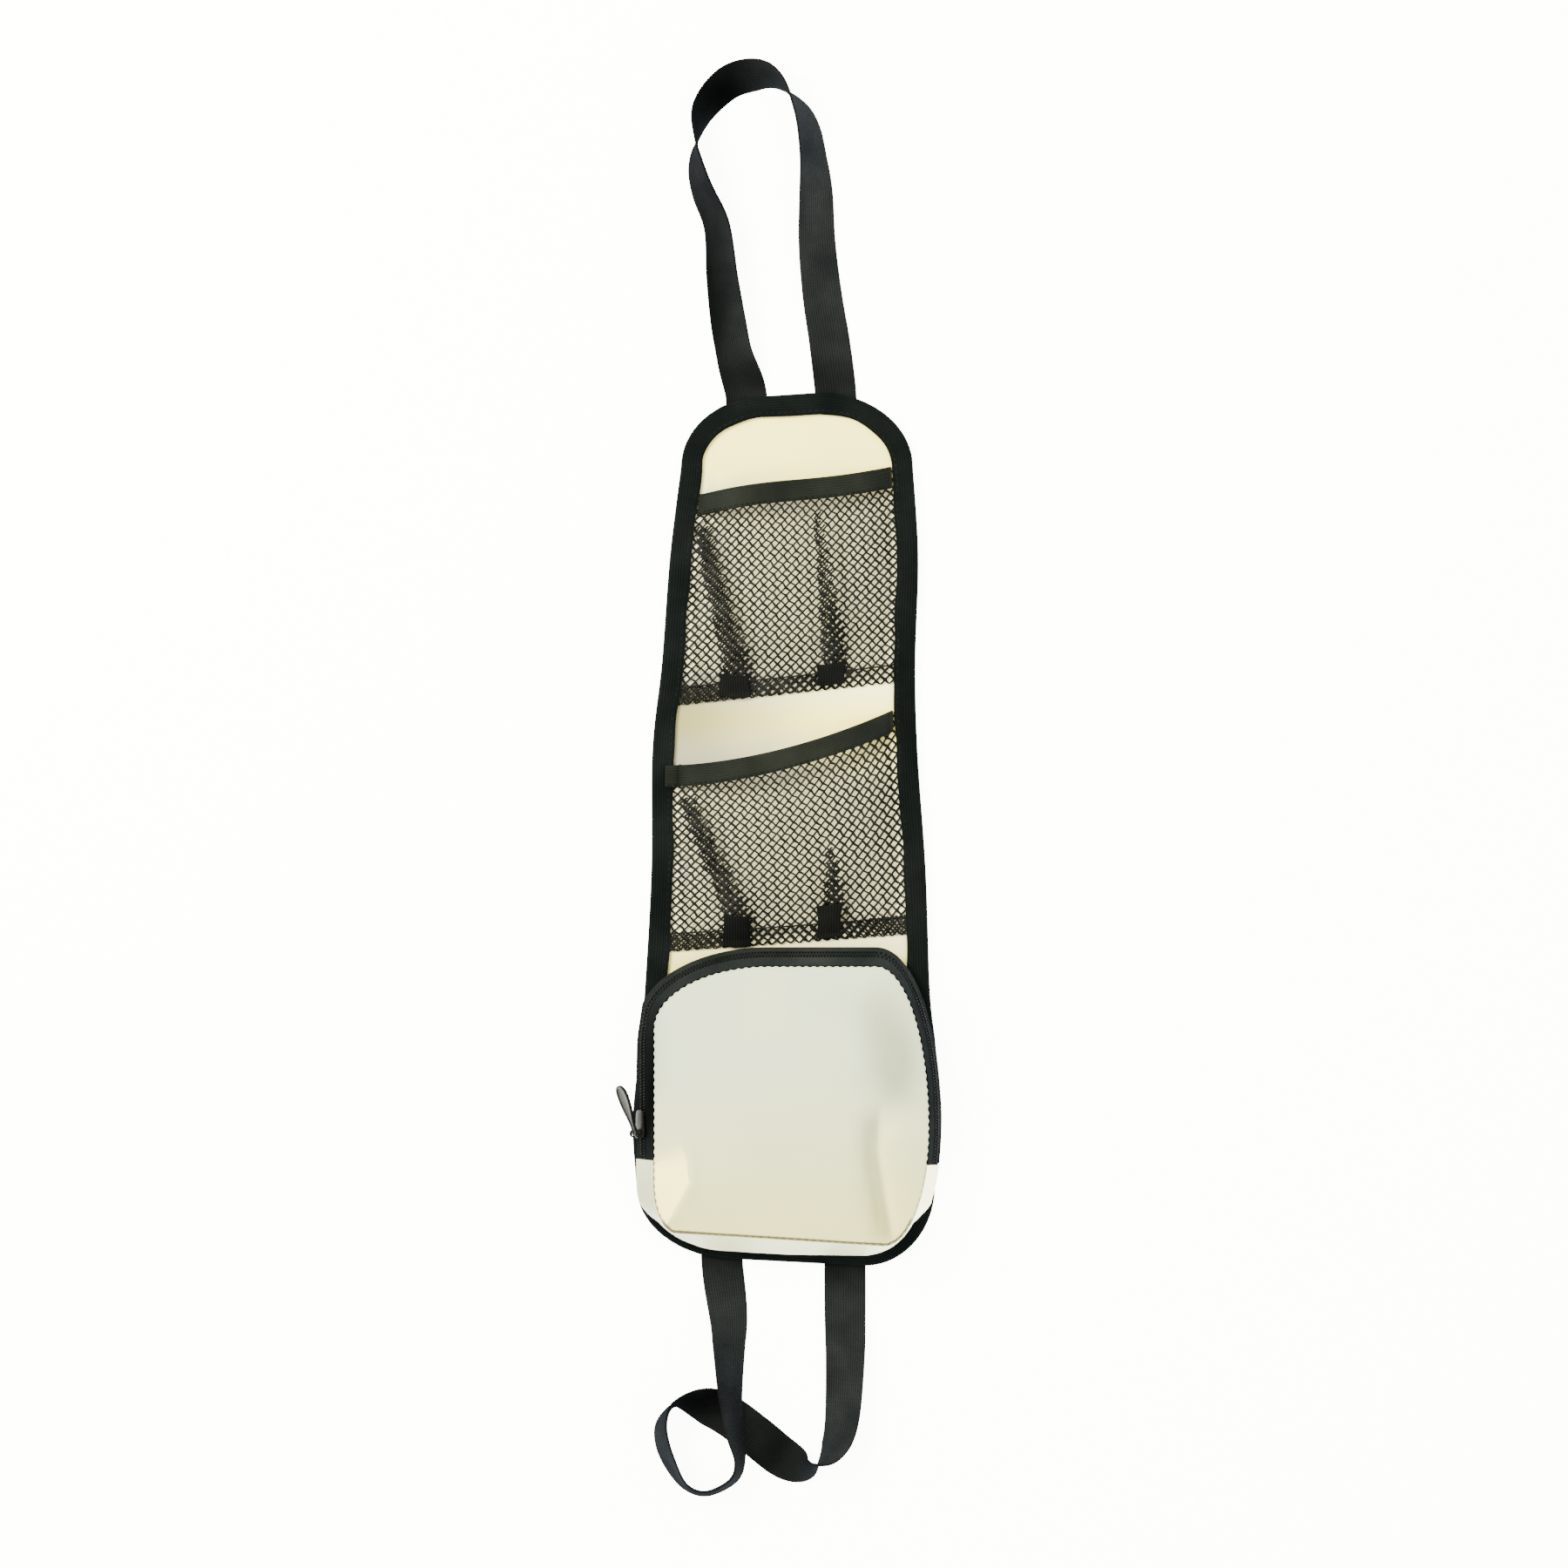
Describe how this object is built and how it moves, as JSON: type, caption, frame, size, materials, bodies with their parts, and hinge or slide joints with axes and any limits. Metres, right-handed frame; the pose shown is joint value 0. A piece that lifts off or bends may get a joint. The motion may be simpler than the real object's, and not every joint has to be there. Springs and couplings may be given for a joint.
{
  "type": "car seat side organizer",
  "caption": "Bound panel with net pockets, a zipped pouch and an elastic strap loop at each end, for the side of a car seat.",
  "frame": {"origin": "middle of the pad's flat underside, on the surface that the organizer lies on", "axes": "+X across the organizer, +Y along it towards the top strap, +Z out of its front"},
  "size_m": [0.1564, 0.6919, 0.0319],
  "materials": {
    "cream_leather": "smooth, fine-grained artificial leather, satin",
    "black_tape": "woven polyester tape, matte",
    "black_net": "knitted diamond net, matte",
    "zip_tape": "woven zip tape, matte",
    "nylon_teeth": "moulded nylon coil, satin",
    "dark_metal": "dark plated metal, glossy",
    "black_elastic": "woven elastic webbing, matte"
  },
  "bodies": {
    "organizer": {"back_panel": "cream_leather", "edge_binding": "black_tape", "upper_pocket_net": "black_net", "upper_pocket_hem": "black_tape", "lower_pocket_net": "black_net", "lower_pocket_hem": "black_tape", "pouch_front": "cream_leather", "pouch_gusset": "cream_leather", "zip_tape_back": "zip_tape", "zip_tape_front": "zip_tape", "zip_teeth_back": "nylon_teeth", "zip_teeth_front": "nylon_teeth", "top_strap": "black_elastic", "bottom_strap": "black_elastic"},
    "slider": {"zip_slider": "dark_metal"},
    "puller": {"zip_puller": "dark_metal"}
  },
  "joints": [
    {"name": "slider_travel", "type": "slide", "parent": "organizer", "child": "slider", "axis": [0, 1, 0], "range_m": [-0.008, 0.037]},
    {"name": "puller_swing", "type": "hinge", "parent": "slider", "child": "puller", "pos_m": [-0.07313, -0.1457, 0.02006], "axis": [0.498, 0, 0.8672], "range_deg": [-15, 130]}
  ]
}
